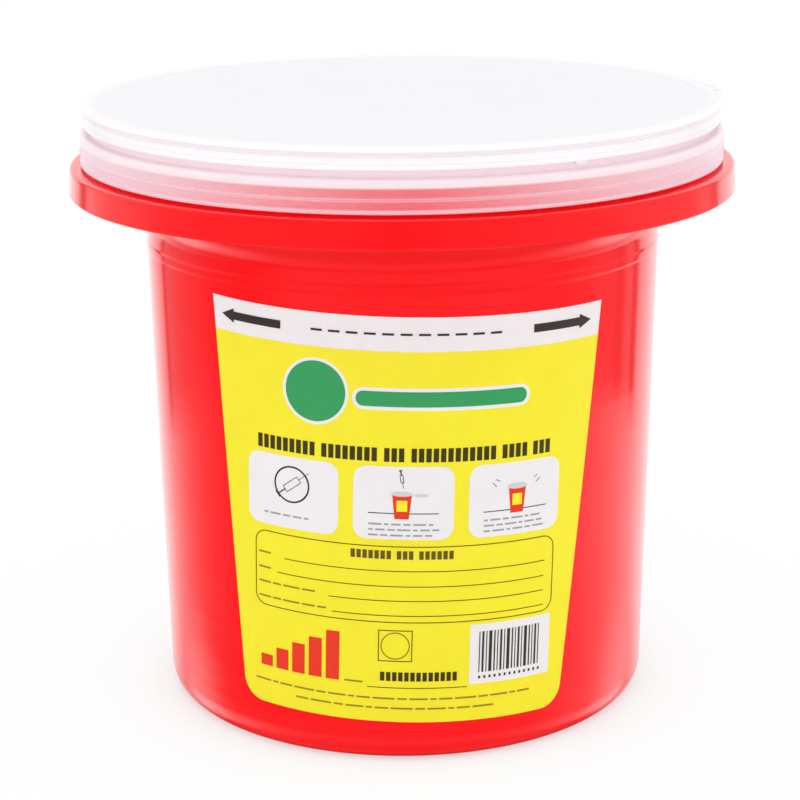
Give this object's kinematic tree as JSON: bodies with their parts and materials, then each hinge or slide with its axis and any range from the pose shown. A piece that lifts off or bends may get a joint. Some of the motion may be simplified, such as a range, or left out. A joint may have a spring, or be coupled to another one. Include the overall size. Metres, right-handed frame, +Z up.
{
  "type": "sharps container",
  "caption": "Round tapered bucket with a hanging flange, a pressed-on translucent base lid with a drop-in hole and needle notches, and a hinged snap cap.",
  "frame": {"origin": "on the floor plane, centre of the round base", "axes": "+Z up along the bucket's axis, the label faces -Y, the cap's hinge is at the right rear, 16 degrees from +X towards +Y"},
  "size_m": [0.1588, 0.1588, 0.1455],
  "materials": {
    "red_plastic": "glossy moulded polypropylene, opaque red",
    "milky_plastic": "translucent natural polypropylene, satin gloss",
    "printed_film": "printed self-adhesive film, yellow and white, slightly glossy"
  },
  "bodies": {
    "bucket_body": {"bucket": "red_plastic", "front_label": "printed_film"},
    "lid_body": {"base_lid": "milky_plastic", "hinge_film": "milky_plastic"},
    "cap_body": {"closure_cap": "milky_plastic"}
  },
  "joints": [
    {"name": "lid_lift", "type": "slide", "parent": "bucket_body", "child": "lid_body", "axis": [0, 0, 1], "range_m": [0, 0.04]},
    {"name": "cap_hinge", "type": "hinge", "parent": "lid_body", "child": "cap_body", "pos_m": [0.0753, 0.02159, 0.13962], "axis": [-0.2756, 0.9613, 0], "range_deg": [0, 180]}
  ]
}
